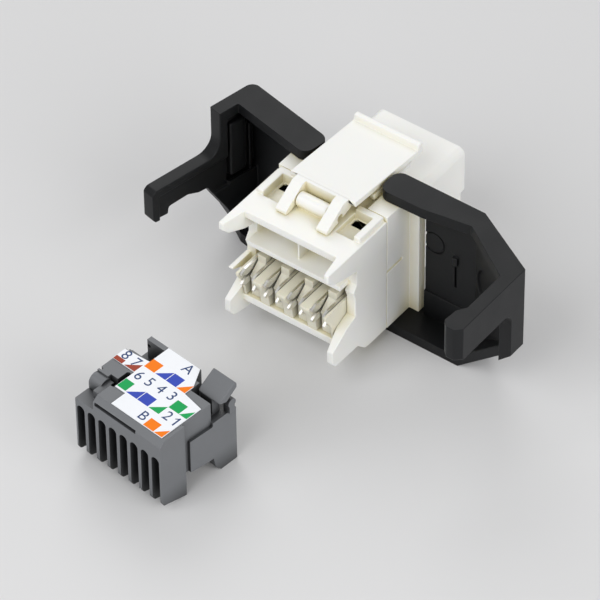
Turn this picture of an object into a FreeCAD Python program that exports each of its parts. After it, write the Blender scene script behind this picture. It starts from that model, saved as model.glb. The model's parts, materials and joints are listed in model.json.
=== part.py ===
import FreeCAD, Part
import math
import os

# Keystone jack for twisted-pair cable, with two swinging arms that close over the cable side,
# and its wire manager lying loose behind it.
# Frame: X to the right, +Y out of the plug port, +Z up, origin on the resting plane,
# midway between the two arm pivots.

V = FreeCAD.Vector

# ---- clearances ----------------------------------------------------------------------------
FIT = 0.05                    # between faces that sit side by side
PIN_FIT = 0.04                # radial, pin in bore

# ---- arms ----------------------------------------------------------------------------------
PIVOT_X = 7.9
PIN_R = 0.8
PIN_ROOF = 0.5                # closed top of the upper pivot bores
FLANGE_T = 1.7                # top and bottom flanges
FLANGE_IN = 1.95              # pivot line to the inner edge of the top flange
HINGE_END = 2.05              # pivot to the hinge end of a flange
WEB_OUT = 2.6                 # pivot line to the outer face of the web
WEB_FROM = 3.6                # pivot to the start of the web
ARM_WALL = 1.3
TIP_REACH = 18.3              # pivot line to the right fingertip
R_WEB = 12.5                  # right arm: straight web, from the pivot
R_LENGTH = 23.1               # right arm: pivot to the outer face of the end wall
R_CORNER = 3.2                # right arm: how far the bevel drops back
R_POST = 3.0                  # right arm: width of the upright beside the arch
R_WALL = 2.0                  # right arm: thickness of the end wall and finger
R_ARCH_R = 1.8                # right arm: arch between post and finger
R_FINGER_H = 5.7              # right arm: height of the finger
R_BEVEL_FROM = 12.4           # right arm: pivot to the start of the lower bevel
R_BEVEL_Z = 10.4              # right arm: where the lower bevel ends
FLOOR_REACH = 3.3             # pivot line to the inner edge of the bottom flanges
WEB_STEP_Z = 6.2              # the web is thicker below this
WEB_STEP_T = 0.35
RING_R = 1.9
RING_W = 0.3
MARK_DEPTH = 0.2
DISH_R = 2.9
DISH_RUN = 3.4                # along the slanted wall to the dish
DISH_Z = 13.4
DISH_DEPTH = 0.4
L_LENGTH = 13.9
L_REACH = 17.6                # pivot line to the left fingertip
L_WALL = 2.1                  # left arm: thickness of the end wall and finger
L_POCKET = 0.95               # left arm: depth of the pocket in the end wall
L_RIM = 1.4                   # left arm: rim around the pocket
L_CORNER_R = 1.3
L_POST = 5.3                  # left arm: pivot line to the free edge of the upright
L_FINGER_TOP = 7.4            # left arm: finger top below the flange top
L_FINGER_H = 5.6
L_NOTCH_R = 2.6
L_REST_TURN = 12.0            # degrees that the left arm stands further open

# ---- plug port section ---------------------------------------------------------------------
FRONT_W = 14.7                # standard keystone width
FRONT_H = 16.2                # standard keystone height
FRONT_Z = 0.95                # underside of the port section above the feet
FRONT_FACE = 16.3             # pivot line to the port face
FRONT_R = 1.1
PORT_W = 11.8
PORT_H = 6.9
PORT_DEPTH = 13.2
PORT_WALL = 3.2               # port opening above the underside of the port section
KEY_STEPS = ((6.2, 1.5), (4.0, 3.0))   # width and total height of the latch keyway
HOOK_H = 0.9
HOOK_Y = 7.6
HOOK_L = 3.6

# ---- shoulder, side panels and contact chamber ---------------------------------------------
BODY_H = 19.95
SIDE_WALL = 1.5
END_ROOM = 0.525               # outermost contact to the side wall
SHOULDER_W = 21.6
SHOULDER_FACE = 0.75          # rear face of the shoulder from the pivot line
SHOULDER_T = 1.4
SHOULDER_RISE = 0.7           # shoulder top above the top plate
PARTING = -4.4                # joint between the front and rear mouldings
SPLIT_Z = 10.6                # split line across the side panels, above the feet
REAR_EDGE = -14.05            # rear edge of the top plate
PLATE_T = 1.2
FLOOR_Z = 3.75                # underside of the floor plate above the feet
FLOOR_EDGE = -14.7
FINGER_TIP = -17.85
FINGER_TIP_W = 0.75
LEDGE_Z = 13.95               # top of the ledge above the feet
LEDGE_T = 0.8
LEDGE_EDGE = -13.45
PRONG_TIP = -17.0             # tips of the lower guide prongs
FIN_Z = 10.25                 # left wall's fin above the feet
FIN_T = 0.7

# ---- contacts ------------------------------------------------------------------------------
WAYS = 8
PITCH = 2.0
BLADE_T = 0.35
BLADE_H = 2.9
BLADE_GAP = 0.42
BLADE_Z = 9.05                # middle of the blades above the feet
BLADE_TIP = -16.1
SLIT_L = 4.2
RIB_TIP = -16.4
RIB_Z = 10.3                  # top of the ribs above the feet
PILLAR_W = 1.4
PILLAR_Z = 11.4               # top of the pillars above the feet
PILLAR_H = 1.2
PILLAR_D = 1.6
COMB_BACK = 4.4               # depth of the comb's back plate
BOARD_T = 1.2
PORT_PITCH = 1.02
SPRING_T = 0.42
SPRING_OUT = 7.2              # rear of the port to the bend of a spring
SPRING_BACK = 4.2             # bend back to its free end
SPRING_ROOF = 1.4             # roof of the port to its root
SPRING_DROP = 3.9             # how far a port spring hangs below its root

# ---- latch plate ---------------------------------------------------------------------------
LATCH_W = 11.0
LATCH_T = 0.9
LATCH_FRONT = 8.9
LATCH_REAR = -6.6
LATCH_Z = 1.95                # top of the latch at its front edge, above the top plate
LATCH_RISE = 1.2              # how much higher its rear edge stands
LIP_H = 0.95
LIP_L = 1.2
LEG_END = -10.7
LEG_W = 1.75
WINDOW_W = 5.1
BAR_R = 1.1
BAR_Y = -8.5
JOURNAL_R = 0.55

# ---- wire manager, in its own frame: middle of its width, from its slotted face, from its foot
CAP_X = -3.1
CAP_Y = -48.2                 # foot of the slotted face
CAP_TURN = -6.9               # degrees
CAP_W = 16.0
CAP_L = 14.3
CAP_H = 13.0
SKIRT_L = 4.65
SKIRT_RISE = 1.8              # its slotted face starts this far above its feet
BLOCK_H = 10.8
SLOT_W = 1.4
SLOT_TOP = 9.8
SLOT_DEPTH = 2.7
MID_FOOT = 3.6                # underside between the skirt and the rear legs
LEG_FROM = 10.0
REAR_H = 9.6                  # deck behind the label
PANEL_T = 0.45               # raised panels on its sides
PANEL_TOP = 9.3
LABEL_T = 0.12
LABEL_FRONT = 1.0             # slotted face to the label's front edge
LABEL_FRONT_W = 2.0           # middle to its front left corner
LABEL_NOTCH = 3.6             # slotted face to the notch beside the cable clip
LABEL_EAST = 7.4
LABEL_WEST = 8.0
LABEL_REAR = 0.7              # rear face to the label's rear edge
LABEL_REAR_W = 3.8
LABEL_TONGUE = 0.5
LABEL_STEP = 1.15

# ---- places worked out from the sizes ------------------------------------------------------
Z_FEET = FLANGE_T + FIT
Z_TOP = Z_FEET + BODY_H
Z_SHOULDER = Z_TOP + SHOULDER_RISE
Z_FLANGE = Z_SHOULDER + 0.15
Z_ARM = Z_FLANGE + FLANGE_T
Z_FRONT = Z_FEET + FRONT_Z
Z_FRONT_TOP = Z_FRONT + FRONT_H
Z_FLOOR = Z_FEET + FLOOR_Z
Z_LEDGE = Z_FEET + LEDGE_Z
INNER_W = (WAYS - 1) * PITCH + BLADE_T + 2 * END_ROOM
BODY_W = INNER_W + 2 * SIDE_WALL
WAY_X = [(i - (WAYS - 1) / 2) * PITCH for i in range(WAYS)]
BOARD_Y = PARTING + 0.3
COMB_FACE = PARTING - COMB_BACK


# ---- helpers -------------------------------------------------------------------------------
def box(x0, x1, y0, y1, z0, z1):
    return Part.makeBox(x1 - x0, y1 - y0, z1 - z0, V(x0, y0, z0))


def prism_z(points, z0, z1):
    wire = Part.makePolygon([V(x, y, z0) for x, y in points] + [V(*points[0], z0)])
    return Part.Face(wire).extrude(V(0, 0, z1 - z0))


def prism_y(points, y0, y1):
    wire = Part.makePolygon([V(x, y0, z) for x, z in points] + [V(points[0][0], y0, points[0][1])])
    return Part.Face(wire).extrude(V(0, y1 - y0, 0))


def prism_x(points, x0, x1):
    wire = Part.makePolygon([V(x0, y, z) for y, z in points] + [V(x0, *points[0])])
    return Part.Face(wire).extrude(V(x1 - x0, 0, 0))


def cyl_z(radius, x, y, z0, z1):
    return Part.makeCylinder(radius, z1 - z0, V(x, y, z0), V(0, 0, 1))


def cyl_x(radius, x0, x1, y, z):
    return Part.makeCylinder(radius, x1 - x0, V(x0, y, z), V(1, 0, 0))


def mirror_x(shape):
    return shape.mirror(V(0, 0, 0), V(1, 0, 0))


def both_sides(shape):
    return [shape, mirror_x(shape)]


def round_edges(shape, radius, test):
    edges = [edge for edge in shape.Edges if test(edge)]
    if not edges:
        return shape
    return shape.makeFillet(radius, edges)


def along(edge, axis):
    ends = [vertex.Point for vertex in edge.Vertexes]
    if len(ends) != 2:
        return False
    way = ends[1] - ends[0]
    return way.Length > 1e-6 and abs(way.normalize().dot(axis)) > 0.999


def near(edge, **places):
    middle = edge.CenterOfMass
    return all(abs(getattr(middle, axis) - value) < 0.02 for axis, value in places.items())


def join(shapes):
    result = shapes[0]
    for shape in shapes[1:]:
        result = result.fuse(shape)
    return result.removeSplitter()


def cut(shape, tools):
    for tool in tools:
        shape = shape.cut(tool)
    return shape


def save(shape, name):
    shape.exportStep("parts/" + name + ".step")


# ---- front moulding ------------------------------------------------------------------------
def front_housing():
    half = FRONT_W / 2
    body = box(-half, half, SHOULDER_FACE, FRONT_FACE, Z_FRONT, Z_FRONT_TOP)
    body = round_edges(body, FRONT_R, lambda e: along(e, V(0, 1, 0)))
    shoulder = box(-SHOULDER_W / 2, SHOULDER_W / 2, SHOULDER_FACE, SHOULDER_FACE + SHOULDER_T,
                   Z_FEET, Z_SHOULDER)
    saddle = box(-LATCH_W / 2 - 0.4, LATCH_W / 2 + 0.4, SHOULDER_FACE - 1, SHOULDER_FACE + SHOULDER_T + 1,
                 Z_FRONT_TOP + 1.0, Z_SHOULDER + 1)
    shell = box(-BODY_W / 2, BODY_W / 2, PARTING, SHOULDER_FACE, Z_FEET, Z_SHOULDER)
    shell = cut(shell, [box(-LATCH_W / 2 - 0.4, LATCH_W / 2 + 0.4, PARTING - 1, SHOULDER_FACE + 1,
                            Z_TOP - 0.4, Z_SHOULDER + 1)])
    chamber = box(-INNER_W / 2, INNER_W / 2, PARTING - 1, SHOULDER_FACE - 1.2, Z_FEET + PLATE_T,
                  Z_TOP - PLATE_T - 0.4)
    solid = join([body, shoulder.cut(saddle), shell]).cut(chamber)
    hook = prism_x([(HOOK_Y, Z_FRONT + 0.2), (HOOK_Y, Z_FRONT - HOOK_H),
                    (HOOK_Y + 0.8, Z_FRONT - HOOK_H), (HOOK_Y + HOOK_L, Z_FRONT + 0.2)], -3.2, 3.2)
    grooves = []
    for side in (1, -1):
        outer = side * BODY_W / 2
        grooves.append(box(min(outer, outer - side * 0.35), max(outer, outer - side * 0.35),
                           PARTING, SHOULDER_FACE - 1.6, Z_FEET + SPLIT_Z - 0.25, Z_FEET + SPLIT_Z + 0.25))
        face = side * half
        grooves.append(box(min(face, face - side * 0.6), max(face, face - side * 0.6),
                           FRONT_FACE - 5.0, FRONT_FACE + 1, Z_FRONT + 1.4, Z_FRONT + 8.6))
    solid = cut(join([solid, hook]), grooves + [port_cavity()])
    pins = []
    for side in (1, -1):
        x = side * PIVOT_X
        pins.append(cyl_z(PIN_R, x, 0, Z_SHOULDER - 1, Z_ARM - PIN_ROOF - 0.1))
        pins.append(cyl_z(PIN_R, x, 0, 0.3, Z_FEET + 1))
    return join([solid] + pins)


def port_cavity():
    z0 = Z_FRONT + PORT_WALL
    rear = FRONT_FACE - PORT_DEPTH
    mouth = box(-PORT_W / 2, PORT_W / 2, rear, FRONT_FACE + 1, z0 + KEY_STEPS[-1][1],
                z0 + KEY_STEPS[-1][1] + PORT_H)
    keyway = []
    top = z0 + KEY_STEPS[-1][1]
    for width, height in KEY_STEPS:
        keyway.append(box(-width / 2, width / 2, rear, FRONT_FACE + 1, top - height, top + 0.5))
    guide = box(-PORT_W / 2 + 1, PORT_W / 2 - 1, SHOULDER_FACE - 2, rear + 0.5, top + 0.4, top + PORT_H)
    return join([mouth, guide] + keyway)


# ---- rear moulding -------------------------------------------------------------------------
def side_profile():
    top = Z_TOP
    foot = Z_FEET
    wall = REAR_EDGE + 2.7
    upper_prong = [(PARTING - FIT, foot), (PARTING - FIT, top), (FINGER_TIP, top), (FINGER_TIP, top - 1.3),
                   (FINGER_TIP + 1.1, top - 2.4), (wall - 2.1, top - 3.5), (wall, top - 4.0)]
    side = [(wall, top - 6.4), (wall - 0.8, top - 7.6), (wall - 0.4, top - 8.8), (wall - 0.4, foot + 7.8)]
    lower_prong = [(wall - 2.8, foot + 6.8), (PRONG_TIP, foot + 4.9), (PRONG_TIP, foot + 2.9),
                   (PRONG_TIP + 0.7, foot + 1.9), (wall + 0.2, foot + 1.8), (wall + 1.8, foot + 0.2),
                   (wall + 2.7, foot)]
    return upper_prong + side + lower_prong


def fin():
    wall = REAR_EDGE + 2.7
    top = Z_FEET + FIN_Z
    outline = [(wall + 1, top), (wall - 4.6, top), (wall - 4.6, top - 0.3), (wall - 2.5, top - 1.3),
               (wall - 2.1, top - 2.1), (wall - 2.6, top - 2.8), (wall - 2.6, top - 4.5), (wall + 1,
                                                                                           top - 5.0)]
    return prism_x(outline, -BODY_W / 2, -BODY_W / 2 + FIN_T)


def rear_housing():
    half = BODY_W / 2
    inner = INNER_W / 2
    front = PARTING - FIT
    walls = []
    wall = prism_x(side_profile(), inner, half)
    taper = prism_z([(inner - 1, REAR_EDGE), (inner, REAR_EDGE), (half - FINGER_TIP_W, FINGER_TIP),
                     (half - FINGER_TIP_W, FINGER_TIP - 1), (inner - 1,
                                                             FINGER_TIP - 1)], Z_FEET - 1, Z_TOP + 1)
    wall = wall.cut(taper)
    walls += both_sides(wall)
    top = box(-half, half, REAR_EDGE, front, Z_TOP - PLATE_T, Z_TOP)
    floor = box(-half, half, FLOOR_EDGE, front, Z_FLOOR, Z_FLOOR + PLATE_T)
    ledge = box(-inner - 0.2, inner + 0.2, LEDGE_EDGE, front, Z_LEDGE - LEDGE_T, Z_LEDGE)
    divider = box(-0.15, 0.15, LEDGE_EDGE + 1.2, front - 2.6, Z_LEDGE - 0.2, Z_TOP - PLATE_T + 0.2)
    back = box(-inner - 0.2, inner + 0.2, front - 3.6, front - 2.6, Z_LEDGE - LEDGE_T, Z_TOP - 0.2)
    under = box(-inner - 0.2, inner + 0.2, front - 1.2, front, Z_FEET, Z_FLOOR + 0.2)
    solid = join(walls + [fin(), top, floor, ledge, divider, back, under])
    for side in (1, -1):
        solid = well(solid, side)
    bar = cyl_x(BAR_R, -WINDOW_W / 2 + 0.15, WINDOW_W / 2 - 0.15, BAR_Y, Z_TOP + BAR_R)
    foot = box(-WINDOW_W / 2 + 0.15, WINDOW_W / 2 - 0.15, BAR_Y - 0.7, BAR_Y + 0.7, Z_TOP - 0.3,
               Z_TOP + BAR_R)
    journals = [cyl_x(JOURNAL_R, -WINDOW_W / 2 - 0.9, WINDOW_W / 2 + 0.9, BAR_Y, Z_TOP + BAR_R)]
    return join([solid, bar, foot] + journals)


def well(solid, side):
    x0, x1 = 4.6, 7.6
    y0, y1 = PARTING - 5.6, PARTING - 1.1
    rim_t = 1.05
    if side < 0:
        x0, x1 = -x1, -x0
    outer = box(x1, x1 + rim_t, y0, PARTING - FIT, Z_TOP - 0.5, Z_SHOULDER)
    if side < 0:
        outer = box(x0 - rim_t, x0, y0, PARTING - FIT, Z_TOP - 0.5, Z_SHOULDER)
    across = box(min(x0, x1) - (rim_t if side < 0 else 0), max(x0, x1) + (rim_t if side > 0 else 0),
                 y1, PARTING - FIT, Z_TOP - 0.5, Z_SHOULDER)
    pocket = box(x0, x1, y0, y1, Z_TOP - 0.9, Z_TOP + 1)
    hole = box(x0 + 0.3, x1 - 0.3, y1 - 1.5, y1 - 0.25, Z_TOP - PLATE_T - 1, Z_TOP)
    return join([solid, outer, across]).cut(pocket).cut(hole)


# ---- contact insert and circuit board ------------------------------------------------------
def circuit_board():
    return box(-INNER_W / 2 + 0.2, INNER_W / 2 - 0.2, BOARD_Y, BOARD_Y + BOARD_T,
               Z_FEET + PLATE_T + 0.2, Z_LEDGE - LEDGE_T - 0.2)


def blade_outline(tip, grow=0.0):
    middle = Z_FEET + BLADE_Z
    half = BLADE_H / 2 + grow
    return [(BOARD_Y - FIT, middle - half), (BOARD_Y - FIT, middle + half), (tip + 0.9, middle + half),
            (tip, middle + half - 0.4), (tip, middle - half + 0.4), (tip + 0.9, middle - half)]


def idc_contact(x):
    middle = Z_FEET + BLADE_Z
    gap = BLADE_GAP / 2
    blade = prism_x(blade_outline(BLADE_TIP), x - BLADE_T / 2, x + BLADE_T / 2)
    slit = box(x - 1, x + 1, BLADE_TIP - 1, BLADE_TIP + SLIT_L, middle - gap, middle + gap)
    mouth = prism_x([(BLADE_TIP - 0.1, middle - 0.9), (BLADE_TIP - 0.1, middle + 0.9),
                     (BLADE_TIP + 1.0, middle + gap), (BLADE_TIP + 1.0, middle - gap)], x - 1, x + 1)
    return cut(blade, [slit, mouth])


def contact_comb():
    inner = INNER_W / 2 - FIT
    low = Z_FLOOR + PLATE_T + FIT
    high = Z_LEDGE - LEDGE_T - FIT
    rib_top = Z_FEET + RIB_Z
    pillar_top = Z_FEET + PILLAR_Z
    pieces = [box(-inner, inner, COMB_FACE, PARTING - 0.2, low, high)]
    rib = [(COMB_FACE + 0.1, low), (COMB_FACE + 0.1, rib_top + 1.2), (COMB_FACE - 1.6, rib_top),
           (RIB_TIP, rib_top), (RIB_TIP, rib_top - 0.5), (RIB_TIP + 1.4, low + 2.4), (RIB_TIP + 1.8, low)]
    pillar = [(COMB_FACE + 0.1, low), (COMB_FACE + 0.1, pillar_top), (LEDGE_EDGE + 2.4, pillar_top),
              (LEDGE_EDGE + 2.4 - PILLAR_D, pillar_top), (LEDGE_EDGE + 2.4 - PILLAR_D,
                                                          pillar_top - PILLAR_H),
              (BLADE_TIP + 1.6, rib_top - 1.6), (BLADE_TIP + 1.9, rib_top - 2.4), (BLADE_TIP + 2.0, low)]
    half = PITCH / 2 - BLADE_T / 2 - FIT
    for i in range(-2, 3):
        left = max(2 * PITCH * i - half, -inner)
        right = min(2 * PITCH * i + half, inner)
        pieces.append(prism_x(rib, left, right))
    for i in range(4):
        x = (2 * i - 3) * PITCH
        pieces.append(prism_x(pillar, x - PILLAR_W / 2, x + PILLAR_W / 2))
    comb = join(pieces)
    slots = []
    for x in WAY_X:
        slots.append(prism_x(blade_outline(BLADE_TIP - 3, FIT), x - BLADE_T / 2 - FIT,
                             x + BLADE_T / 2 + FIT))
    return cut(comb, slots)


def port_contact(i):
    x = (i - (WAYS - 1) / 2) * PORT_PITCH
    z_roof = Z_FRONT + PORT_WALL + KEY_STEPS[-1][1] + PORT_H
    start = BOARD_Y + BOARD_T
    bend = FRONT_FACE - PORT_DEPTH + SPRING_OUT
    tip = bend - SPRING_BACK
    top = z_roof - SPRING_ROOF
    drop = top - SPRING_DROP
    outline = [(start, top), (bend, top), (bend + 0.8 * SPRING_T, top - 0.8 * SPRING_T), (tip, drop),
               (tip, drop + 1.25 * SPRING_T),
               (bend - SPRING_T, top - SPRING_T), (start, top - SPRING_T)]
    return prism_x(outline, x - SPRING_T / 2, x + SPRING_T / 2)


def contact_guide():
    z_roof = Z_FRONT + PORT_WALL + KEY_STEPS[-1][1] + PORT_H
    rear = FRONT_FACE - PORT_DEPTH
    half = PORT_W / 2 - 1 - FIT
    block = box(-half, half, BOARD_Y + BOARD_T + 0.1, rear + 0.4, z_roof - 2.6, z_roof - 0.3)
    tools = []
    for i in range(WAYS):
        x = (i - (WAYS - 1) / 2) * PORT_PITCH
        groove = SPRING_T / 2 + 0.08
        tools.append(box(x - groove, x + groove, -20, 20, z_roof - 3, z_roof - 0.7))
    return cut(block, tools)


# ---- latch plate ---------------------------------------------------------------------------
def keystone_latch():
    z_front = Z_TOP + LATCH_Z
    z_rear = z_front + LATCH_RISE
    slope = (z_rear - z_front) / (LATCH_REAR - LATCH_FRONT)
    half = LATCH_W / 2
    t = LATCH_T
    profile = [(LATCH_FRONT, z_front - t), (LATCH_REAR, z_rear - t), (LATCH_REAR, z_rear),
               (LATCH_FRONT - LIP_L, z_front - slope * LIP_L), (LATCH_FRONT - LIP_L + 0.25,
                                                                z_front + LIP_H),
               (LATCH_FRONT - 0.2, z_front + LIP_H), (LATCH_FRONT, z_front + LIP_H - 0.3)]
    plate = prism_x(profile, -half, half)
    ramp = [(LATCH_REAR + 0.6, z_rear), (LATCH_REAR + 0.6, z_rear - 2 * t), (LEG_END, Z_TOP + 0.12),
            (LEG_END - 0.9, Z_TOP + 0.12), (LEG_END - 0.9, Z_TOP + 0.7), (LATCH_REAR - 1.2, z_rear - 0.1)]
    outer = WINDOW_W / 2 + LEG_W
    legs = prism_x(ramp, -outer, outer)
    window = box(-WINDOW_W / 2, WINDOW_W / 2, LEG_END - 2, LATCH_REAR - 0.4, Z_TOP - 1, z_rear + 1)
    solid = join([plate, legs]).cut(window)
    bore = cyl_x(JOURNAL_R + PIN_FIT, -half - 1, half + 1, BAR_Y, Z_TOP + BAR_R)
    rib = both_sides(box(half - 0.9, half, PARTING + 2.0, LATCH_FRONT - 3, z_front - t - 0.6,
                         z_front - t + 0.3))
    return join([solid] + rib).cut(bore)


# ---- arms, each drawn about its own pivot at the origin, outward along +X, port side +Y ----
def flange(outline, z0):
    return prism_z(outline, z0, z0 + FLANGE_T)


def pivot_bores(arm):
    upper = cyl_z(PIN_R + PIN_FIT, 0, 0, Z_FLANGE - 1, Z_ARM - PIN_ROOF)
    lower = cyl_z(PIN_R + PIN_FIT, 0, 0, -1, FLANGE_T + 1)
    return cut(arm, [upper, lower])


def right_arm():
    reach = -TIP_REACH
    end = R_LENGTH
    inner = end - R_WALL
    web_in = WEB_OUT - ARM_WALL
    slant_in = -R_CORNER - 0.85
    post = -R_CORNER - R_POST
    outer_edge = [(end, -R_CORNER), (R_WEB + 0.9, WEB_OUT - 0.5), (R_WEB, WEB_OUT), (-HINGE_END, WEB_OUT)]
    tip = [(inner, reach + 4.6), (end - 2.9, reach + 3.3), (end - 3.1, reach + 0.9), (end - 2.2, reach),
           (end - 0.9, reach), (end, reach + 0.9)]
    lip = [(-HINGE_END, -FLANGE_IN), (5, -FLANGE_IN + 0.15), (R_WEB, -0.6), (end - 1.6, -6.5),
           (inner, -8.4)]
    top = flange(lip + tip + outer_edge, Z_FLANGE)
    top = round_edges(top, 1.5, lambda e: along(e, V(0, 0, 1)) and near(e, x=-HINGE_END))
    low = [(-HINGE_END, -FLOOR_REACH), (R_BEVEL_FROM, -FLOOR_REACH), (end, -FLOOR_REACH - 1.7),
           (end, -R_CORNER), (R_WEB, WEB_OUT), (-HINGE_END, WEB_OUT)]
    rise = R_BEVEL_Z / (end - R_BEVEL_FROM)
    band = prism_y([(-HINGE_END - 1, 0), (R_BEVEL_FROM, 0), (end + 1, R_BEVEL_Z + rise),
                    (end + 1, R_BEVEL_Z + rise + 1.9), (R_BEVEL_FROM - 0.4, FLANGE_T), (-HINGE_END - 1,
                                                                                        FLANGE_T)],
                   -30, 30)
    bottom = prism_z(low, 0, Z_ARM).common(band)
    bottom = round_edges(bottom, 1.5, lambda e: along(e, V(0, 0, 1)) and near(e, x=-HINGE_END))
    web = prism_z([(WEB_FROM, web_in), (R_WEB - 0.5, web_in), (inner, slant_in), (inner, post),
                   (end, post),
                   (end, -R_CORNER), (R_WEB, WEB_OUT), (WEB_FROM, WEB_OUT)], 0, Z_ARM)
    thick = prism_z([(WEB_FROM, web_in - WEB_STEP_T), (R_WEB - 0.7, web_in - WEB_STEP_T),
                     (R_WEB - 0.5, web_in + 0.1), (WEB_FROM, web_in + 0.1)], FLANGE_T - 0.1, WEB_STEP_Z)
    above = prism_y([(-5, 0), (R_BEVEL_FROM, 0), (end + 1, R_BEVEL_Z + rise), (end + 1, Z_ARM),
                     (-5, Z_ARM)],
                    -30, 30)
    finger = prism_z([(inner, post + 1)] + tip + [(end, post + 1)], Z_ARM - R_FINGER_H, Z_ARM)
    under = Z_ARM - R_FINGER_H
    corner = box(inner, end, post - R_ARCH_R, post + 0.1, under - R_ARCH_R, under + 0.1)
    corner = corner.cut(cyl_x(R_ARCH_R, 0, 40, post - R_ARCH_R, under - R_ARCH_R))
    solid = join([top, bottom, web.common(above), thick, finger, corner])
    run = V(inner - R_WEB + 0.5, slant_in - web_in, 0)
    run.normalize()
    outward = V(-run.y, run.x, 0)
    dish_at = V(R_WEB - 0.5, web_in, DISH_Z) + run * DISH_RUN
    dish = Part.makeCylinder(DISH_R, 2, dish_at - outward * (2 - DISH_DEPTH), outward)
    ring_x = 5.0
    ring_z = 15.6
    ring = Part.makeCylinder(RING_R, 1, V(ring_x, web_in + MARK_DEPTH, ring_z), V(0, -1, 0))
    ring = ring.cut(Part.makeCylinder(RING_R - RING_W, 3, V(ring_x, web_in + 1, ring_z), V(0, -1, 0)))
    slit = box(8.5, 8.9, web_in - 0.1, web_in + 0.4, 9.2, 13.5)
    tab = box(8.2, 9.1, web_in - 0.35, web_in + 0.1, 13.5, 14.9)
    solid = join([cut(solid, [slit, ring, dish]), tab])
    return pivot_bores(solid)


def left_arm():
    reach = -L_REACH
    end = L_LENGTH
    inner = end - L_WALL
    web_in = WEB_OUT - ARM_WALL
    top = flange([(-HINGE_END, -FLANGE_IN), (inner, -FLANGE_IN), (inner, -L_POST), (end, -L_POST),
                  (end, WEB_OUT), (-HINGE_END, WEB_OUT)], Z_FLANGE)
    top = round_edges(top, 1.5, lambda e: along(e, V(0, 0, 1)) and near(e, x=-HINGE_END))
    bottom = flange([(-HINGE_END, -FLOOR_REACH), (end - 3.5, -FLOOR_REACH), (end, -1.9), (end, WEB_OUT),
                     (-HINGE_END, WEB_OUT)], 0)
    bottom = round_edges(bottom, 1.5, lambda e: along(e, V(0, 0, 1)) and near(e, x=-HINGE_END))
    bottom = round_edges(bottom, 1.5, lambda e: along(e, V(0, 0, 1)) and near(e, x=end - 3.5))
    web = box(WEB_FROM, end, web_in, WEB_OUT, 0, Z_ARM)
    f_top = Z_ARM - L_FINGER_TOP
    f_low = f_top - L_FINGER_H
    r = L_NOTCH_R
    profile = [(WEB_OUT, 0), (WEB_OUT, Z_ARM), (-L_POST, Z_ARM), (-L_POST, f_top + r)]
    for k in range(1, 9):
        turn = math.radians(90 * k / 8)
        profile.append((-L_POST - r + r * math.cos(turn), f_top + r - r * math.sin(turn)))
    profile += [(reach + 0.6, f_top), (reach, f_top - 0.6), (reach, f_low + 0.5), (reach + 0.4, f_low),
                (reach + 3.0, f_low - 0.2), (reach + 3.2, f_low + 1.0), (reach + 6.6, f_low + 1.1),
                (reach + 8.6, f_low + 0.3), (reach + 10.2, f_low + 0.2), (reach + 11.4, f_low - 2.1),
                (-4.3, 5.9), (-2.8, 2.7), (-1.9, 0)]
    wall = prism_x(profile, inner, end)
    solid = join([top, bottom, web, wall])
    solid = round_edges(solid, L_CORNER_R, lambda e: along(e, V(0, 0, 1)) and near(e, x=end, y=WEB_OUT))
    pocket = box(inner - 0.1, inner + L_POCKET, -L_POST + L_RIM, web_in, f_low - 0.5, Z_FLANGE)
    groove = box(inner - 0.1, inner + L_POCKET / 2, reach + 1.2, -L_POST + L_RIM, f_low - 1.0, f_top - 1.3)
    solid = cut(solid, [pocket, groove])
    broad = box(inner, inner + L_POCKET + 0.1, -3.5, -0.7, f_low + 0.4, Z_FLANGE - 1.4)
    narrow = box(inner + 0.3, inner + L_POCKET + 0.1, 0.1, 0.6, f_low - 0.5, Z_FLANGE - 3.5)
    return pivot_bores(join([solid, broad, narrow]))


# ---- wire manager --------------------------------------------------------------------------
def cap_body():
    half = CAP_W / 2
    skirt = prism_x([(0, SKIRT_RISE), (0.4, SKIRT_RISE - 0.7), (SKIRT_L, 0), (SKIRT_L, CAP_H),
                     (0.9, CAP_H),
                     (0, CAP_H - 0.8)], -half, half)
    middle = box(-half + PANEL_T, half - PANEL_T, SKIRT_L - 0.1, LEG_FROM, MID_FOOT, CAP_H)
    rear = prism_x([(LEG_FROM - 0.1, MID_FOOT - 0.8), (LEG_FROM + 0.2, 1.2), (LEG_FROM + 1.2, 0),
                    (CAP_L, 0),
                    (CAP_L, REAR_H), (LEG_FROM - 0.1, REAR_H)], -half, half)
    deck = box(-half + 0.8, 3.8, LEG_FROM - 0.1, CAP_L - 0.6, REAR_H - 0.1, CAP_H)
    pad = box(-half, -half + 2.6, SKIRT_L + 0.35, LEG_FROM - 0.3, PANEL_TOP + 0.3, CAP_H)
    panels = both_sides(prism_x([(SKIRT_L + 0.9, MID_FOOT), (SKIRT_L + 0.9, PANEL_TOP),
                                 (LEG_FROM + 0.6, PANEL_TOP - 0.4),
                                 (LEG_FROM + 0.6, MID_FOOT - 0.6), (LEG_FROM - 1.4, MID_FOOT - 0.6)],
                                half - PANEL_T - 0.05, half))
    return join([skirt, middle, rear, deck, pad] + panels)


def cap_slots():
    tools = []
    for x in WAY_X:
        tools.append(box(x - SLOT_W / 2, x + SLOT_W / 2, -1, SLOT_DEPTH, -1, SLOT_TOP - SLOT_W / 2))
        tools.append(Part.makeCylinder(SLOT_W / 2, SLOT_DEPTH + 1, V(x, -1, SLOT_TOP - SLOT_W / 2),
                                       V(0, 1, 0)))
    return tools


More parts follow.
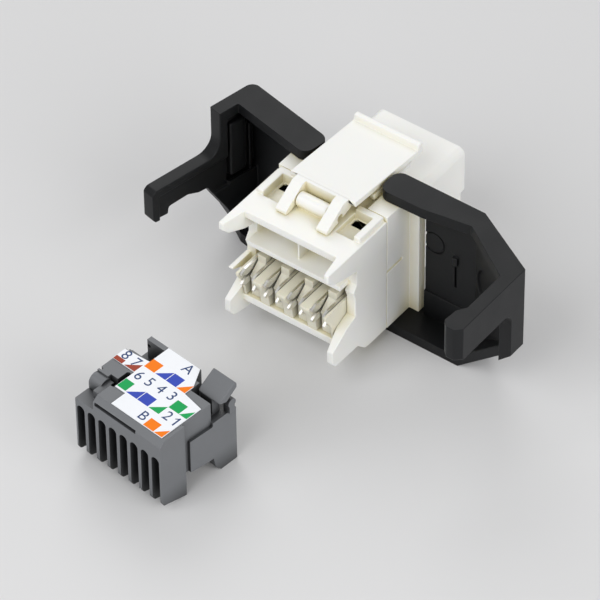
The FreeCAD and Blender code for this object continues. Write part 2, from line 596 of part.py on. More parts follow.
def wire_manager():
    half = CAP_W / 2
    step = CAP_H - BLOCK_H
    pad_l = -4.6
    tools = cap_slots()
    # front left corner block, and the gap beside the bracket
    tools.append(box(-half - 1, pad_l, -1, 2.6, BLOCK_H, CAP_H + 1))
    tools.append(box(-half - 1, -half + 2.0, 2.5, 4.3, BLOCK_H - 0.6, CAP_H + 1))
    tools.append(box(-6.0, pad_l, 2.5, 4.9, BLOCK_H - 0.6, CAP_H + 1))
    tools.append(box(pad_l - 0.1, -4.0, 3.4, 6.8, BLOCK_H - 0.6, CAP_H + 1))
    # slit in the slotted face
    tools.append(box(-4.3, 3.4, -1, 0.9, CAP_H - 1.25, CAP_H - 0.7))
    # well behind the label on the left, and the drop behind the right pad
    tools.append(box(-half - 1, -3.9, LEG_FROM + 0.1, CAP_L - 1.4, REAR_H, CAP_H + 1))
    tools.append(box(3.9, half + 1, LEG_FROM + 1.1, CAP_L + 1, REAR_H, CAP_H + 1))
    tools.append(box(2.2, half + 1, LEG_FROM + 1.8, CAP_L + 1, REAR_H, CAP_H + 1))
    # shoulders of the top fall away on the right
    tools.append(prism_y([(half - PANEL_T, CAP_H + 0.1), (half + 1, CAP_H + 0.1),
                          (half + 1, PANEL_TOP + 0.2),
                          (half - PANEL_T, PANEL_TOP + 0.8)], SKIRT_L - 0.05, CAP_L + 1))
    hollow = box(-half + 1.4, half - 1.4, SKIRT_L + 2.0, CAP_L + 1, -1, MID_FOOT)
    solid = cut(cap_body(), tools + [hollow])
    # cable clip: boss with a cross hole, and its bracket
    boss = Part.makeCylinder(1.15, 2.2, V(-half, 3.75, CAP_H - 1.3), V(1, 0, 0))
    foot = box(-half, -half + 2.2, 2.6, 4.9, BLOCK_H - 0.7, CAP_H - 1.3)
    bracket = box(-half + 1.9, -half + 2.9, 1.6, 4.6, BLOCK_H - 0.1, CAP_H - 0.7)
    # raised wing over the rear right corner
    wing = prism_x([(LEG_FROM + 1.0, CAP_H - 0.5), (LEG_FROM + 1.6, CAP_H + 0.1),
                    (CAP_L - 0.3, CAP_H + 1.6),
                    (CAP_L, CAP_H + 1.2), (CAP_L, CAP_H + 0.6), (LEG_FROM + 2.2,
                                                                 CAP_H - 0.9)], 4.2, half + 0.3)
    stem = box(4.6, half - 1.2, LEG_FROM + 1.0, LEG_FROM + 2.4, REAR_H - 0.1, CAP_H - 0.5)
    curl = cyl_x(0.7, half - 0.9, half + 0.3, CAP_L - 1.0, REAR_H + 1.6)
    curl_foot = box(half - 0.9, half + 0.3, CAP_L - 1.5, CAP_L - 0.5, REAR_H - 0.1, REAR_H + 1.6)
    solid = join([solid, boss, foot, bracket, wing, stem, curl, curl_foot])
    holes = [cyl_x(0.5, -half - 1, -half + 1.6, 3.75, CAP_H - 1.3),
             Part.makeCylinder(0.3, 2, V(-half + 0.9 + step * 0.1, CAP_L - 2.0, CAP_H - 1.1), V(0, 1, 0))]
    return cut(solid, holes)


def wiring_label():
    left, right = -LABEL_WEST, LABEL_EAST
    front, rear = LABEL_FRONT, CAP_L - LABEL_REAR
    tongue = LEG_FROM - LABEL_TONGUE
    outline = [(-LABEL_FRONT_W, front), (right, front), (right, tongue - LABEL_STEP),
               (LABEL_REAR_W, tongue - LABEL_STEP / 2), (LABEL_REAR_W, LEG_FROM + LABEL_STEP / 2),
               (LABEL_REAR_W - 1.5 * LABEL_STEP, rear), (-LABEL_REAR_W, rear), (-LABEL_REAR_W, LEG_FROM),
               (left, tongue), (left, tongue - 2 * LABEL_STEP), (-LABEL_REAR_W - LABEL_T,
                                                                 tongue - 2 * LABEL_STEP),
               (-LABEL_REAR_W - LABEL_T, LABEL_NOTCH), (-LABEL_FRONT_W, LABEL_NOTCH)]
    return prism_z(outline, CAP_H, CAP_H + LABEL_T)


def place_arm(shape, side, turn=0.0):
    if side < 0:
        shape = mirror_x(shape)
    shape = shape.copy()
    shape.rotate(V(0, 0, 0), V(0, 0, 1), turn)
    shape.translate(V(side * PIVOT_X, 0, 0))
    return shape


def place_cap(shape):
    shape = shape.copy()
    shape.rotate(V(0, 0, 0), V(0, 0, 1), CAP_TURN)
    shape.translate(V(CAP_X, CAP_Y, 0))
    return shape


def main():
    os.makedirs("parts", exist_ok=True)
    save(front_housing(), "front_housing")
    save(rear_housing(), "rear_housing")
    save(keystone_latch(), "keystone_latch")
    save(contact_comb(), "contact_comb")
    save(circuit_board(), "circuit_board")
    save(contact_guide(), "contact_guide")
    for i, x in enumerate(WAY_X):
        save(idc_contact(x), "idc_contact_%d" % (i + 1))
        save(port_contact(i), "port_contact_%d" % (i + 1))
    save(place_arm(right_arm(), 1), "right_arm")
    save(place_arm(left_arm(), -1, -L_REST_TURN), "left_arm")
    save(place_cap(wire_manager()), "wire_manager")
    save(place_cap(wiring_label()), "wiring_label")


main()
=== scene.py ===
import json
import math

import bmesh
import bpy
from mathutils import Matrix, Vector
from mathutils.bvhtree import BVHTree


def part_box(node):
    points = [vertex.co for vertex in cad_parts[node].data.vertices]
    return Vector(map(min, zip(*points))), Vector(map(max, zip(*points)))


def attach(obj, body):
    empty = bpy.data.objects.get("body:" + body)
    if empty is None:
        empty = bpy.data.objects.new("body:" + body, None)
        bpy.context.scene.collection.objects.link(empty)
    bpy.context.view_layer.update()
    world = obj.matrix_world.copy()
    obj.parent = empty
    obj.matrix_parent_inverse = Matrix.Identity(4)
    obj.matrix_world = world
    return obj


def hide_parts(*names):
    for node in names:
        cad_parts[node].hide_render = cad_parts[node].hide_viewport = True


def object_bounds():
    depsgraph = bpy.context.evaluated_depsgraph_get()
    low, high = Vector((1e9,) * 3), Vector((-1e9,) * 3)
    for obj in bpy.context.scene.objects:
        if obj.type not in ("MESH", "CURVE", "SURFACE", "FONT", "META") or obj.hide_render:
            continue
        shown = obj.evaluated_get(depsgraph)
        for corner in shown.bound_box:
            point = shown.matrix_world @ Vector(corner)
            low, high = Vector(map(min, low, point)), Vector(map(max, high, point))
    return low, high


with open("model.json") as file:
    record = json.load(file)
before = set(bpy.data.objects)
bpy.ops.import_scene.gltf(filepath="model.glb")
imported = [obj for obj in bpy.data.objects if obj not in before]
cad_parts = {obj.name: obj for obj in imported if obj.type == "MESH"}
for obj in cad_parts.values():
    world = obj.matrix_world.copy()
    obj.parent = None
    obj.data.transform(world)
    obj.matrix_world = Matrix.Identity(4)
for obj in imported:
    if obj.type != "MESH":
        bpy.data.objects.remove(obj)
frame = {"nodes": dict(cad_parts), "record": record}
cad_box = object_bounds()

bl_info = {
    "name": "Keystone jack finish",
    "version": (1, 0, 0),
    "blender": (4, 5, 0),
    "location": "View3D > Sidebar > Keystone Jack",
    "description": "Rounds, colours and lights a keystone jack with swing arms and a wire manager",
    "category": "Object",
}

MM = 0.001
NODES = frame["nodes"]
RECORD = frame["record"]
SLOT_OF = {part["node"]: part["material_slot"] for part in RECORD["subparts"]}
BODY_OF = {node: body for body, nodes in RECORD["behaviour"]["bodies"].items() for node in nodes}

# Camera, in millimetres and degrees in the jack's own frame.
CAMERA_AZIMUTH = 36.81
CAMERA_ELEVATION = 43.75
CAMERA_ROLL = 0.37
CAMERA_DISTANCE = 669.3
CAMERA_TARGET = (6.36, -12.74, 14.96)
CAMERA_LENS = 297.2
CAMERA_SHIFT = (-0.0567, -0.0267)
CAMERA_CLIP = 0.01

# Lamps: degrees round from the camera, elevation, size in metres and power.
LAMPS = {"key": (-50, 42, 0.50, 2.0), "fill": (42, 26, 0.50, 1.9), "rim": (190, 40, 0.40, 1.1)}
LAMP_DISTANCE = 0.60
WORLD_STRENGTH = 0.30
FLOOR_COLOUR = (0.74, 0.74, 0.745, 1.0)
FLOOR_REACH = 1.5

# Rounding of the mouldings.
MERGE = 0.002 * MM                    # corners closer than this are one corner
FLAT = math.radians(0.5)              # faces that differ by less are one face
SHARP = math.radians(28)              # edges that turn by more are rounded
ROOM_SHARE = 0.34                     # of the shortest side beside an edge, the most its rounding takes
SMOOTH_FROM = 0.2                     # of the full rounding, from which an edge is shaded smooth
SETTLE_SHARE = 0.55                   # of the rounding, how far a corner may leave the surface

# Printing on the label, in millimetres in the wire manager's own frame: x0, y0, x1, y1 of each field.
LABEL_ORIGIN = (-3.1, -48.2)
LABEL_TURN = math.radians(-6.9)
INK_T = 0.012
FIELD_H = 0.010
FIELDS = {
    "orange": [(-3.80, 8.90, -1.92, 10.74), (3.84, 1.06, 5.74, 2.70)],
    "blue": [(0.24, 8.95, 2.10, 10.74), (-0.02, 3.84, 1.92, 5.62)],
    "green": [(-3.86, 3.88, -2.28, 5.66), (4.04, 5.66, 5.90, 7.46)],
    "brown": [(-7.94, 7.20, -6.30, 7.94)],
}
HALF_FIELDS = {
    "orange": [(2.20, 8.95, 3.76, 10.74), (5.86, 1.06, 7.34, 2.70)],
    "blue": [(-1.74, 8.95, 0.12, 10.74), (-2.16, 3.84, -0.14, 5.62)],
    "green": [(2.08, 3.84, 3.98, 5.62), (6.00, 5.66, 7.34, 7.40)],
    "brown": [(-5.95, 7.26, -4.00, 8.90)],
}
DIGIT_SIZE = 2.35
LETTERS = {
    "8": (-6.95, 8.72), "7": (-5.05, 8.62), "6": (-2.97, 7.13), "5": (-1.06, 7.21), "4": (0.95, 7.30),
    "3": (2.96, 7.36), "2": (5.12, 4.37), "1": (6.76, 4.30), "A": (0.95, 12.45), "B": (2.75, 2.20),
}
FLAG_OF_1 = [(6.70, 5.13), (6.24, 4.80), (6.24, 4.62), (6.70, 4.90)]


# ---- settings ------------------------------------------------------------------------------
def length(name, text, value):
    return bpy.props.FloatProperty(name=name, description=text, default=value, min=0.0,
                                   subtype="DISTANCE", unit="LENGTH", precision=5)


def colour(name, text, value):
    return bpy.props.FloatVectorProperty(name=name, description=text, default=value, size=3,
                                         min=0.0, max=1.0, subtype="COLOR")


class JackSizes(bpy.types.PropertyGroup):
    housing_round: length("Housing rounding", "Edge rounding of the white mouldings", 0.16 * MM)
    arm_round: length("Arm rounding", "Edge rounding of the swing arms", 0.30 * MM)
    manager_round: length("Manager rounding", "Edge rounding of the wire manager", 0.22 * MM)
    insert_round: length("Insert rounding", "Edge rounding of the contact comb", 0.07 * MM)


class JackColours(bpy.types.PropertyGroup):
    white: colour("White plastic", "Housing and latch", (0.93, 0.93, 0.90))
    # Painted shade: the warm colour that the recesses of the white plastic are tinted towards.
    shade: colour("White plastic painted shade", "Warmer tint in the recesses", (0.80, 0.74, 0.50))
    ivory: colour("Ivory plastic", "Contact comb and guide", (0.86, 0.83, 0.69))
    black: colour("Black nylon", "Swing arms", (0.0075, 0.008, 0.009))
    grey: colour("Grey plastic", "Wire manager", (0.158, 0.165, 0.176))
    orange: colour("Orange field", "Printed wire colour", (1.0, 0.22, 0.008))
    blue: colour("Blue field", "Printed wire colour", (0.045, 0.08, 0.49))
    green: colour("Green field", "Printed wire colour", (0.013, 0.38, 0.10))
    brown: colour("Brown field", "Printed wire colour", (0.36, 0.065, 0.035))
    ink: colour("Ink", "Printed numbers and letters", (0.035, 0.07, 0.19))
    paper: colour("Label film", "Ground of the wiring label", (0.90, 0.92, 0.96))
    tin: colour("Tin", "Wire contacts", (0.93, 0.92, 0.89))
    gold: colour("Gold", "Port contacts", (0.90, 0.66, 0.28))
    board: colour("Circuit board", "Solder mask", (0.03, 0.16, 0.07))


# ---- shared effects ------------------------------------------------------------------------
def new_group(name, inputs, outputs):
    group = bpy.data.node_groups.new(name, "ShaderNodeTree")
    for label, kind, value in inputs:
        socket = group.interface.new_socket(name=label, in_out="INPUT", socket_type=kind)
        if value is not None:
            socket.default_value = value
    for label, kind in outputs:
        group.interface.new_socket(name=label, in_out="OUTPUT", socket_type=kind)
    return group, group.nodes.new("NodeGroupInput"), group.nodes.new("NodeGroupOutput")


def math_node(tree, operation, first, second=None, clamp=False):
    node = tree.nodes.new("ShaderNodeMath")
    node.operation = operation
    node.use_clamp = clamp
    for socket, value in zip(node.inputs, (first, second)):
        if value is None:
            continue
        if isinstance(value, (int, float)):
            socket.default_value = value
        else:
            tree.links.new(value, socket)
    return node.outputs[0]


def moulded_grain():
    """Fine spark-eroded grain and slow mottling, for moulded plastic."""
    group, given, result = new_group(
        "Moulded grain",
        [("Scale", "NodeSocketFloat", 4000.0), ("Mottle Scale", "NodeSocketFloat", 220.0),
         ("Roughness", "NodeSocketFloat", 0.4), ("Spread", "NodeSocketFloat", 0.12)],
        [(label, "NodeSocketFloat") for label in ("Height", "Roughness", "Mottle")])
    place = group.nodes.new("ShaderNodeTexCoord")
    fine = group.nodes.new("ShaderNodeTexNoise")
    fine.inputs["Detail"].default_value = 3.0
    slow = group.nodes.new("ShaderNodeTexNoise")
    slow.inputs["Detail"].default_value = 4.0
    group.links.new(place.outputs["Object"], fine.inputs["Vector"])
    group.links.new(place.outputs["Object"], slow.inputs["Vector"])
    group.links.new(given.outputs["Scale"], fine.inputs["Scale"])
    group.links.new(given.outputs["Mottle Scale"], slow.inputs["Scale"])
    group.links.new(fine.outputs["Fac"], result.inputs["Height"])
    centred = math_node(group, "SUBTRACT", slow.outputs["Fac"], 0.5)
    spread = math_node(group, "MULTIPLY", centred, given.outputs["Spread"])
    rough = math_node(group, "ADD", spread, given.outputs["Roughness"], clamp=True)
    group.links.new(rough, result.inputs["Roughness"])
    group.links.new(slow.outputs["Fac"], result.inputs["Mottle"])
    return group


def sheen_and_shade_group():
    """Painted highlight: white on convex edges, from the difference between true and rounded normals,
    only where open; and painted shade from ambient occlusion in the recesses.
    """
    group, given, result = new_group(
        "Painted sheen and shade",
        [("Radius", "NodeSocketFloat", 0.0002), ("Gain", "NodeSocketFloat", 2.0)],
        [("Mask", "NodeSocketFloat"), ("Occlusion shade", "NodeSocketFloat")])
    bevel = group.nodes.new("ShaderNodeBevel")
    bevel.samples = 6
    geometry = group.nodes.new("ShaderNodeNewGeometry")
    occlusion = group.nodes.new("ShaderNodeAmbientOcclusion")
    occlusion.inputs["Distance"].default_value = 0.004
    occlusion.samples = 8
    group.links.new(given.outputs["Radius"], bevel.inputs["Radius"])
    dot = group.nodes.new("ShaderNodeVectorMath")
    dot.operation = "DOT_PRODUCT"
    group.links.new(bevel.outputs["Normal"], dot.inputs[0])
    group.links.new(geometry.outputs["Normal"], dot.inputs[1])
    # Painted highlight on convex edges, kept to open places by the occlusion.
    bent = math_node(group, "SUBTRACT", 1.0, dot.outputs["Value"])
    mask = math_node(group, "MULTIPLY", bent, given.outputs["Gain"], clamp=True)
    open_mask = math_node(group, "MULTIPLY", mask, occlusion.outputs["AO"], clamp=True)
    group.links.new(open_mask, result.inputs["Mask"])
    # Painted shade: one minus the ambient occlusion.
    shade_amount = math_node(group, "SUBTRACT", 1.0, occlusion.outputs["AO"], clamp=True)
    group.links.new(shade_amount, result.inputs["Occlusion shade"])
    return group


class Finish:
    """A Principled material with the moulded grain already wired to roughness and bump."""

    def __init__(self, name, scale, mottle, roughness, spread, depth):
        self.material = bpy.data.materials.new(name)
        self.material.use_nodes = True
        self.tree = self.material.node_tree
        self.shader = self.tree.nodes["Principled BSDF"]
        self.grain = self.add_group("Moulded grain")
        for label, value in (("Scale", scale), ("Mottle Scale", mottle), ("Roughness", roughness),
                             ("Spread", spread)):
            self.grain.inputs[label].default_value = value
        self.link(self.grain.outputs["Roughness"], "Roughness")
        bump = self.tree.nodes.new("ShaderNodeBump")
        bump.inputs["Strength"].default_value = 0.35
        bump.inputs["Distance"].default_value = depth
        self.tree.links.new(self.grain.outputs["Height"], bump.inputs["Height"])
        self.link(bump.outputs["Normal"], "Normal")

    def add_group(self, name):
        node = self.tree.nodes.new("ShaderNodeGroup")
        node.node_tree = bpy.data.node_groups[name]
        return node

    def link(self, output, socket):
        self.tree.links.new(output, self.shader.inputs[socket])

    def mix(self, factor, first, second):
        node = self.tree.nodes.new("ShaderNodeMix")
        node.data_type = "RGBA"
        self.tree.links.new(factor, node.inputs["Factor"])
        for socket, value in ((node.inputs["A"], first), (node.inputs["B"], second)):
            if isinstance(value, tuple):
                socket.default_value = (*value, 1.0)
            else:
                self.tree.links.new(value, socket)
        return node.outputs["Result"]

    def translucent(self, weight, scale):
        """Lets a little light through, more of the red than of the blue."""
        self.shader.inputs["Subsurface Weight"].default_value = weight
        self.shader.inputs["Subsurface Radius"].default_value = (0.0012, 0.0009, 0.0005)
        self.shader.inputs["Subsurface Scale"].default_value = scale

    def gloss(self, level):
        self.shader.inputs["Specular IOR Level"].default_value = level

    def shaded_with_sheen(self, rgb, low, high, sheen, shade_tone, gain):
        """A mottled colour with a painted highlight on convex edges and painted shade in the recesses.
        """
        sheen_shade = self.add_group("Painted sheen and shade")
        sheen_shade.inputs["Gain"].default_value = gain
        base = self.mix(self.grain.outputs["Mottle"], scaled(rgb, low), scaled(rgb, high))
        # Painted highlight on convex edges.
        edge = self.mix(sheen_shade.outputs["Mask"], base, scaled(rgb, sheen))
        # Painted shade in the recesses.
        shade_amount = math_node(self.tree, "MULTIPLY", sheen_shade.outputs["Occlusion shade"], 1.5, clamp=True)
        self.link(self.mix(shade_amount, edge, scaled(rgb, shade_tone)), "Base Color")

    def mottled(self, rgb, low, high):
        base = self.mix(self.grain.outputs["Mottle"], scaled(rgb, low), scaled(rgb, high))
        self.link(base, "Base Color")


def scaled(rgb, factor):
    return tuple(min(1.0, value * factor) for value in rgb)


def white_plastic(colours):
    finish = Finish("white_plastic", 5200.0, 260.0, 0.36, 0.10, 0.000012)
    sheen_shade = finish.add_group("Painted sheen and shade")
    base = finish.mix(finish.grain.outputs["Mottle"], scaled(colours.white, 0.98), tuple(colours.white))
    # Painted shade: the occlusion, steepened and raised, tints deep recesses towards the warm shade
    # colour.
    steep_shade = math_node(finish.tree, "POWER", sheen_shade.outputs["Occlusion shade"], 1.6)
    depth = math_node(finish.tree, "MULTIPLY", steep_shade, 1.7, clamp=True)
    shaded_base = finish.mix(depth, base, tuple(colours.shade))
    finish.link(shaded_base, "Base Color")
    finish.translucent(0.12, 1.0)
    finish.gloss(0.45)
    return finish.material


def ivory_plastic(colours):
    finish = Finish("ivory_plastic", 6000.0, 400.0, 0.42, 0.12, 0.000010)
    sheen_shade = finish.add_group("Painted sheen and shade")
    mottle = finish.grain.outputs["Mottle"]
    base = finish.mix(mottle, scaled(colours.ivory, 0.95), scaled(colours.ivory, 1.05))
    # Painted shade: the ivory darkens in the recesses.
    shade_tone = finish.mix(sheen_shade.outputs["Occlusion shade"], base, scaled(colours.ivory, 0.66))
    finish.link(shade_tone, "Base Color")
    finish.translucent(0.15, 0.05)
    return finish.material


def black_nylon(colours):
    finish = Finish("black_nylon", 3600.0, 300.0, 0.46, 0.16, 0.000028)
    # Painted highlight on the edges and painted shade in the recesses of the black nylon.
    finish.shaded_with_sheen(colours.black, low=0.8, high=1.35, sheen=4.5, shade_tone=0.25, gain=1.4)
    finish.gloss(0.24)
    return finish.material


def grey_plastic(colours):
    finish = Finish("grey_plastic", 4200.0, 240.0, 0.48, 0.14, 0.000020)
    # Painted highlight on the edges and painted shade in the recesses of the grey plastic.
    finish.shaded_with_sheen(colours.grey, low=0.90, high=1.10, sheen=1.5, shade_tone=0.12, gain=1.2)
    return finish.material


def label_film(colours):
    finish = Finish("label", 3000.0, 500.0, 0.40, 0.10, 0.000006)
    finish.mottled(colours.paper, 0.97, 1.03)
    return finish.material


def printed(name, rgb):
    finish = Finish(name, 3000.0, 500.0, 0.42, 0.10, 0.000004)
    finish.mottled(rgb, 0.94, 1.05)
    finish.gloss(0.10)
    return finish.material


def board_mask(colours):
    finish = Finish("board", 2500.0, 700.0, 0.30, 0.10, 0.000010)
    finish.mottled(colours.board, 0.7, 1.3)
    return finish.material


def metal(name, rgb, roughness):
    finish = Finish(name, 5000.0, 900.0, roughness, 0.18, 0.000008)
    finish.mottled(rgb, 0.85, 1.08)
    finish.shader.inputs["Metallic"].default_value = 1.0
    return finish.material


def make_finishes():
    if "white_plastic" in bpy.data.materials and "Moulded grain" in bpy.data.node_groups:
        return
    for stale in list(bpy.data.materials):
        stale.name = "packed_" + stale.name
    moulded_grain()
    sheen_and_shade_group()
    colours = bpy.context.scene.jack_colours
    white_plastic(colours)
    ivory_plastic(colours)
    black_nylon(colours)
    grey_plastic(colours)
    label_film(colours)
    board_mask(colours)
    for name in ("orange", "blue", "green", "brown", "ink"):
        printed("print_" + name, tuple(getattr(colours, name)))
    metal("tinned_contact", tuple(colours.tin), 0.34)
    metal("gold_contact", tuple(colours.gold), 0.22)


def give(obj, slot):
    """Replaces every material slot of an object with one finish."""
    obj.data.materials.clear()
    obj.data.materials.append(bpy.data.materials[slot])


# ---- rounded copies of the moulded parts ---------------------------------------------------
def settle(mesh, source, reach):
    """Pulls back any rounded corner that left the original surface or its box."""
    form = bmesh.new()
    form.from_mesh(source)
    tree = BVHTree.FromBMesh(form)
    form.free()
    low = [min(vertex.co[axis] for vertex in source.vertices) for axis in range(3)]
    high = [max(vertex.co[axis] for vertex in source.vertices) for axis in range(3)]
    for vertex in mesh.vertices:
        place, _, _, distance = tree.find_nearest(vertex.co)
        if distance > reach:
            vertex.co = place
        for axis in range(3):
            vertex.co[axis] = min(max(vertex.co[axis], low[axis]), high[axis])


def rounded(node, width):
    """A copy of a part with its flat faces merged and its edges rounded, which stands for the part."""
    source = NODES[node]
    mesh = source.data.copy()
    form = bmesh.new()
    form.from_mesh(mesh)
    bmesh.ops.remove_doubles(form, verts=form.verts, dist=MERGE)
    bmesh.ops.dissolve_limit(form, angle_limit=FLAT, verts=form.verts, edges=form.edges)
    layer = form.edges.layers.float.new("bevel_weight_edge")
    for edge in form.edges:
        if len(edge.link_faces) != 2:
            continue
        if edge.calc_face_angle(0.0) < SHARP:
            continue
        room = min(side.calc_length() for face in edge.link_faces for side in face.edges)
        edge[layer] = min(1.0, ROOM_SHARE * room / width)
        edge.smooth = edge[layer] > SMOOTH_FROM
    for face in form.faces:
        face.smooth = True
    form.to_mesh(mesh)
    form.free()
    piece = bpy.data.objects.new("rounded_" + node, mesh)
    bpy.context.scene.collection.objects.link(piece)
    bevel = piece.modifiers.new("rounding", "BEVEL")
    bevel.limit_method = "WEIGHT"
    bevel.width = width
    bevel.segments = 2
    bevel.use_clamp_overlap = False
    bevel.miter_outer = "MITER_ARC"
    flatten = piece.modifiers.new("flat faces", "WEIGHTED_NORMAL")
    flatten.weight = 80
    flatten.keep_sharp = True
    bpy.context.view_layer.update()
    graph = bpy.context.evaluated_depsgraph_get()
    shaped = bpy.data.meshes.new_from_object(piece.evaluated_get(graph))
    piece.modifiers.clear()
    piece.data = shaped
    settle(shaped, source.data, SETTLE_SHARE * width)
    give(piece, SLOT_OF[node])
    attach(piece, BODY_OF[node])
    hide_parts(node)
    return piece


# ---- printing ------------------------------------------------------------------------------
def on_label(x, y, z):
    """A point of the label in metres, from millimetres in the wire manager's frame and a height."""
    turned_x = x * math.cos(LABEL_TURN) - y * math.sin(LABEL_TURN)
    turned_y = x * math.sin(LABEL_TURN) + y * math.cos(LABEL_TURN)
    return Vector(((LABEL_ORIGIN[0] + turned_x) * MM, (LABEL_ORIGIN[1] + turned_y) * MM, z))


def add_plate(form, outline, low, high):
    """A thin closed plate over an outline given anticlockwise."""
    below = [form.verts.new(on_label(x, y, low)) for x, y in outline]
    above = [form.verts.new(on_label(x, y, high)) for x, y in outline]
    form.faces.new(list(reversed(below)))
    form.faces.new(above)
    for i in range(len(outline)):
        j = (i + 1) % len(outline)
        form.faces.new((below[i], below[j], above[j], above[i]))


def printed_piece(name, mesh):
    piece = bpy.data.objects.new(name, mesh)
    bpy.context.scene.collection.objects.link(piece)
    mesh.materials.append(bpy.data.materials[name])
    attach(piece, BODY_OF["wiring_label"])
    return piece


def colour_fields(name):
    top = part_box("wiring_label")[1][2]
    form = bmesh.new()
    for x0, y0, x1, y1 in FIELDS[name]:
        add_plate(form, [(x0, y0), (x1, y0), (x1, y1), (x0, y1)], top, top + FIELD_H * MM)
    for x0, y0, x1, y1 in HALF_FIELDS[name]:
        add_plate(form, [(x0, y0), (x1, y0), (x1, y1)], top, top + FIELD_H * MM)
    mesh = bpy.data.meshes.new("print_" + name)
    form.to_mesh(mesh)
    form.free()
    return printed_piece("print_" + name, mesh)


def ink_letters():
    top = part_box("wiring_label")[1][2]
    form = bmesh.new()
    for text, (x, y) in LETTERS.items():
        curve = bpy.data.curves.new("letter_" + text, "FONT")
        curve.body = text
        curve.size = DIGIT_SIZE * MM
        curve.extrude = INK_T / 2 * MM
        curve.align_x = "CENTER"
        curve.align_y = "CENTER"
        letter = bpy.data.objects.new("letter_" + text, curve)
        shape = bpy.data.meshes.new_from_object(letter)
        place = Matrix.Translation(on_label(x, y, top + INK_T / 2 * MM))
        shape.transform(place @ Matrix.Rotation(LABEL_TURN, 4, "Z"))
        form.from_mesh(shape)
        bpy.data.objects.remove(letter)
        bpy.data.curves.remove(curve)
        bpy.data.meshes.remove(shape)
    add_plate(form, FLAG_OF_1, top, top + INK_T * MM)
    mesh = bpy.data.meshes.new("print_ink")
    form.to_mesh(mesh)
    form.free()
    return printed_piece("print_ink", mesh)


class JACK_OT_housing(bpy.types.Operator):
    """Rounds the two white mouldings and the latch plate"""
    bl_idname = "jack.housing"
    bl_label = "Housing and latch"

    def execute(self, context):
        make_finishes()
        width = context.scene.jack_sizes.housing_round
        for node in ("front_housing", "rear_housing", "keystone_latch"):
            rounded(node, width)
        return {"FINISHED"}


class JACK_OT_arms(bpy.types.Operator):
    """Rounds the two black swing arms"""
    bl_idname = "jack.arms"
    bl_label = "Swing arms"

    def execute(self, context):
        make_finishes()
        for node in ("right_arm", "left_arm"):
            rounded(node, context.scene.jack_sizes.arm_round)
        return {"FINISHED"}


class JACK_OT_contacts(bpy.types.Operator):
    """Finishes the contact comb, the contacts, the guide and the circuit board"""
    bl_idname = "jack.contacts"
    bl_label = "Contacts"

    def execute(self, context):
        make_finishes()
        rounded("contact_comb", context.scene.jack_sizes.insert_round)
        for node, slot in SLOT_OF.items():
            if slot in ("tinned_contact", "gold_contact", "board") or node == "contact_guide":
                give(NODES[node], slot)
        return {"FINISHED"}


class JACK_OT_manager(bpy.types.Operator):
    """Rounds the grey wire manager and finishes and prints its label"""
    bl_idname = "jack.manager"
    bl_label = "Wire manager"

    def execute(self, context):
        make_finishes()
        rounded("wire_manager", context.scene.jack_sizes.manager_round)
        give(NODES["wiring_label"], "label")
        for name in FIELDS:
            colour_fields(name)
        ink_letters()
        return {"FINISHED"}


# ---- stage ---------------------------------------------------------------------------------
def direction(azimuth, elevation):
    """The way from the jack towards a place at this azimuth and elevation in degrees."""
    turn, rise = math.radians(azimuth), math.radians(elevation)
    return Vector((math.sin(turn) * math.cos(rise), -math.cos(turn) * math.cos(rise), math.sin(rise)))


def area_light(name, azimuth, elevation, size, power):
    data = bpy.data.lights.new(name, "AREA")
    data.shape = "SQUARE"
    data.size = size
    data.energy = power
    lamp = bpy.data.objects.new(name, data)
    bpy.context.scene.collection.objects.link(lamp)
    way = direction(azimuth, elevation)
    lamp.location = Vector(CAMERA_TARGET) * MM + way * LAMP_DISTANCE
    lamp.rotation_euler = way.to_track_quat("Z", "Y").to_euler()


def floor_material():
    material = bpy.data.materials.new("pale_floor")
    material.use_nodes = True
    tree = material.node_tree
    shader = tree.nodes["Principled BSDF"]
    shader.inputs["Base Color"].default_value = FLOOR_COLOUR
    shader.inputs["Roughness"].default_value = 0.8
    shader.inputs["Specular IOR Level"].default_value = 0.1
    return material


def white_world():
    world = bpy.data.worlds.new("studio")
    bpy.context.scene.world = world
    world.use_nodes = True
    background = world.node_tree.nodes["Background"]
    background.inputs["Color"].default_value = (1.0, 1.0, 1.0, 1.0)
    background.inputs["Strength"].default_value = WORLD_STRENGTH


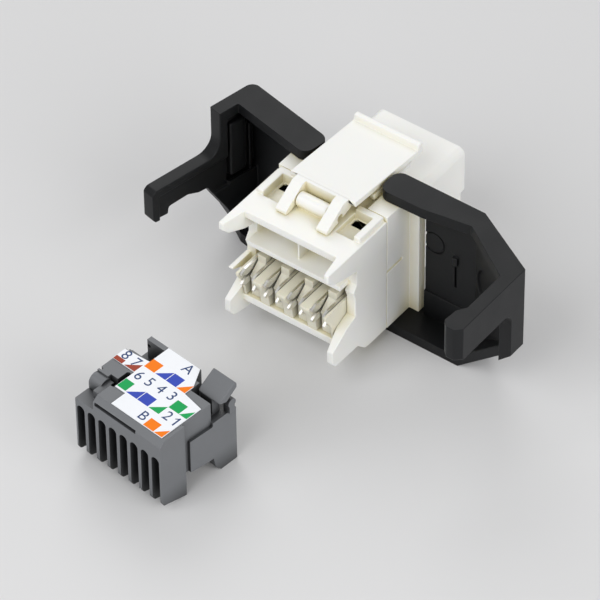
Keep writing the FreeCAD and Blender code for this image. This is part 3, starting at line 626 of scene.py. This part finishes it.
class JACK_OT_stage(bpy.types.Operator):
    """Adds the floor, the lamps and the camera"""
    bl_idname = "jack.stage"
    bl_label = "Stage"

    def execute(self, context):
        ground = cad_box[0][2]
        mesh = bpy.data.meshes.new("floor")
        corners = [(-1, -1), (1, -1), (1, 1), (-1, 1)]
        places = [(x * FLOOR_REACH, y * FLOOR_REACH, ground) for x, y in corners]
        mesh.from_pydata(places, [], [(0, 1, 2, 3)])
        floor = bpy.data.objects.new("floor", mesh)
        context.scene.collection.objects.link(floor)
        floor.data.materials.append(floor_material())
        white_world()
        for name, (azimuth, elevation, size, power) in LAMPS.items():
            area_light(name, CAMERA_AZIMUTH + azimuth, elevation, size, power)
        self.add_camera(context)
        context.scene.view_settings.view_transform = "Standard"
        return {"FINISHED"}

    @staticmethod
    def add_camera(context):
        data = bpy.data.cameras.new("camera")
        data.lens = CAMERA_LENS
        data.shift_x, data.shift_y = CAMERA_SHIFT
        data.clip_start = CAMERA_CLIP
        camera = bpy.data.objects.new("camera", data)
        context.scene.collection.objects.link(camera)
        turn = math.radians(CAMERA_AZIMUTH)
        back = direction(CAMERA_AZIMUTH, CAMERA_ELEVATION)
        right = Vector((math.cos(turn), math.sin(turn), 0.0))
        up = back.cross(right)
        roll = math.radians(CAMERA_ROLL)
        tilted_right = right * math.cos(roll) - up * math.sin(roll)
        tilted_up = right * math.sin(roll) + up * math.cos(roll)
        turned = Matrix((tilted_right, tilted_up, back)).transposed()
        place = (Vector(CAMERA_TARGET) + back * CAMERA_DISTANCE) * MM
        camera.matrix_world = Matrix.Translation(place) @ turned.to_4x4()
        context.scene.camera = camera


class JACK_PT_finish(bpy.types.Panel):
    """Lists the steps and the sizes and colours that they use"""
    bl_idname = "JACK_PT_finish"
    bl_label = "Keystone jack"
    bl_space_type = "VIEW_3D"
    bl_region_type = "UI"
    bl_category = "Keystone Jack"

    def draw(self, context):
        for group in (context.scene.jack_sizes, context.scene.jack_colours):
            column = self.layout.column(align=True)
            for name in group.__annotations__:
                column.prop(group, name)
        for step in STEPS:
            self.layout.operator(step.bl_idname)


STEPS = (JACK_OT_housing, JACK_OT_arms, JACK_OT_contacts, JACK_OT_manager, JACK_OT_stage)
CLASSES = (JackSizes, JackColours) + STEPS + (JACK_PT_finish,)


def register():
    for item in CLASSES:
        bpy.utils.register_class(item)
    bpy.types.Scene.jack_sizes = bpy.props.PointerProperty(type=JackSizes)
    bpy.types.Scene.jack_colours = bpy.props.PointerProperty(type=JackColours)


def unregister():
    del bpy.types.Scene.jack_colours
    del bpy.types.Scene.jack_sizes
    for item in reversed(CLASSES):
        bpy.utils.unregister_class(item)


def main():
    register()
    for step in STEPS:
        family, action = step.bl_idname.split(".")
        getattr(getattr(bpy.ops, family), action)()


if __name__ == "__main__":
    main()
